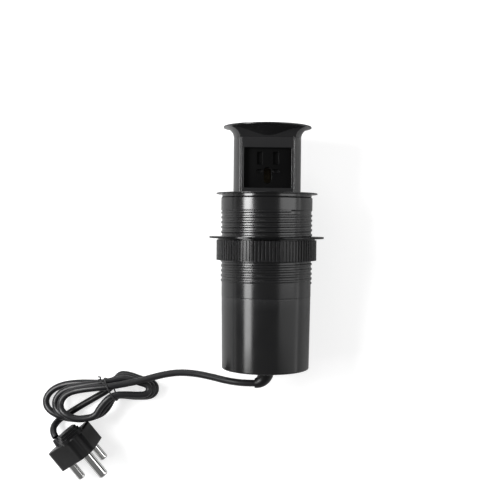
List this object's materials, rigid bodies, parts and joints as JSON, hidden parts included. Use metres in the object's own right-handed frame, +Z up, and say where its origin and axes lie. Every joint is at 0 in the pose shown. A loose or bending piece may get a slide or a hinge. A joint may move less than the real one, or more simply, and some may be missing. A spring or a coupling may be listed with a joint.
{
  "type": "pop up desk socket",
  "caption": "Round pop up desk socket lying on its side, column drawn out, with clamp nut, lead, tied hank and three-pin plug.",
  "frame": {"origin": "on the table, under the middle of the box round the socket without its free lead", "axes": "+Y from the casing's foot to the cap, along the length as it lies (the axis itself rises 6 degrees), +Z up, window up, lead towards -X"},
  "size_m": [0.2488, 0.316, 0.0996],
  "materials": {
    "housing_plastic": "glossy black",
    "inner_plastic": "plain black",
    "outlet_plastic": "glossy black",
    "shutter_plastic": "plain dark grey",
    "wiper_rubber": "soft black",
    "cover_sheet": "pale insulating sheet",
    "gland_plastic": "glossy black",
    "boot_rubber": "satin black",
    "cord_rubber": "satin dark grey sheath",
    "core_insulation": "coloured cores",
    "contact_brass": "bright",
    "spring_steel": "bright",
    "screw_steel": "bright zinc",
    "tie_wire": "coated wire",
    "plug_plastic": "moulded satin black",
    "bridge_plastic": "hard black",
    "pin_metal": "nickel plated"
  },
  "bodies": {
    "barrel": {"outer_barrel": "housing_plastic", "lower_casing": "housing_plastic", "desk_flange": "housing_plastic", "guide_collar": "inner_plastic", "wiper_ring": "wiper_rubber", "gland_body": "gland_plastic", "gland_nut": "gland_plastic", "strain_relief_boot": "boot_rubber", "cord_entry": "cord_rubber", "slack_lead": "cord_rubber", "cord_run": "cord_rubber", "cord_hank": "cord_rubber", "cord_tail": "cord_rubber", "plug_sleeve": "cord_rubber", "hank_tie": "tie_wire", "plug_body": "plug_plastic", "pin_bridge": "bridge_plastic", "plug_pin_live": "pin_metal", "plug_pin_neutral": "pin_metal", "plug_pin_earth": "pin_metal"},
    "column": {"column_shell": "housing_plastic", "front_panel": "housing_plastic", "cap": "housing_plastic", "column_foot": "inner_plastic", "foot_screws": "screw_steel", "detent_spring_left": "spring_steel", "detent_spring_right": "spring_steel", "outlet_face": "outlet_plastic", "outlet_housing": "inner_plastic", "contact_live": "contact_brass", "contact_neutral": "contact_brass", "contact_earth": "contact_brass", "wire_live": "core_insulation", "wire_neutral": "core_insulation", "wire_earth": "core_insulation", "terminal_screws": "screw_steel", "housing_cover": "cover_sheet", "cover_screws": "screw_steel", "lead_clamp": "inner_plastic", "lead_clamp_screws": "screw_steel", "shutter_spring": "spring_steel"},
    "shutter": {"shutter": "shutter_plastic"},
    "clamp_washer": {"clamp_washer": "housing_plastic"},
    "clamp_nut": {"clamp_nut": "housing_plastic"}
  },
  "joints": [
    {"name": "column_slide", "type": "slide", "parent": "barrel", "child": "column", "axis": [0, 0.9945, 0.1047], "range_m": [-0.0562, 0], "deforming": ["slack_lead"]},
    {"name": "shutter_slide", "type": "slide", "parent": "column", "child": "shutter", "axis": [1, 0, 0], "range_m": [0, 0.0055], "stiffness_N_per_m": 120, "springref_m": -0.003, "deforming": ["shutter_spring"]},
    {"name": "washer_slide", "type": "slide", "parent": "barrel", "child": "clamp_washer", "axis": [0, 0.9945, 0.1047], "range_m": [-0.0186, 0.0216]},
    {"name": "nut_turn", "type": "hinge", "parent": "clamp_washer", "child": "clamp_nut", "pos_m": [0, 0.00555, 0.04869], "axis": [0, 0.9945, 0.1047], "range_deg": [-1590, 1845]}
  ],
  "couplings": [
    {"joint": "washer_slide", "follows": "nut_turn", "m_per_rad": 0.00066845}
  ]
}
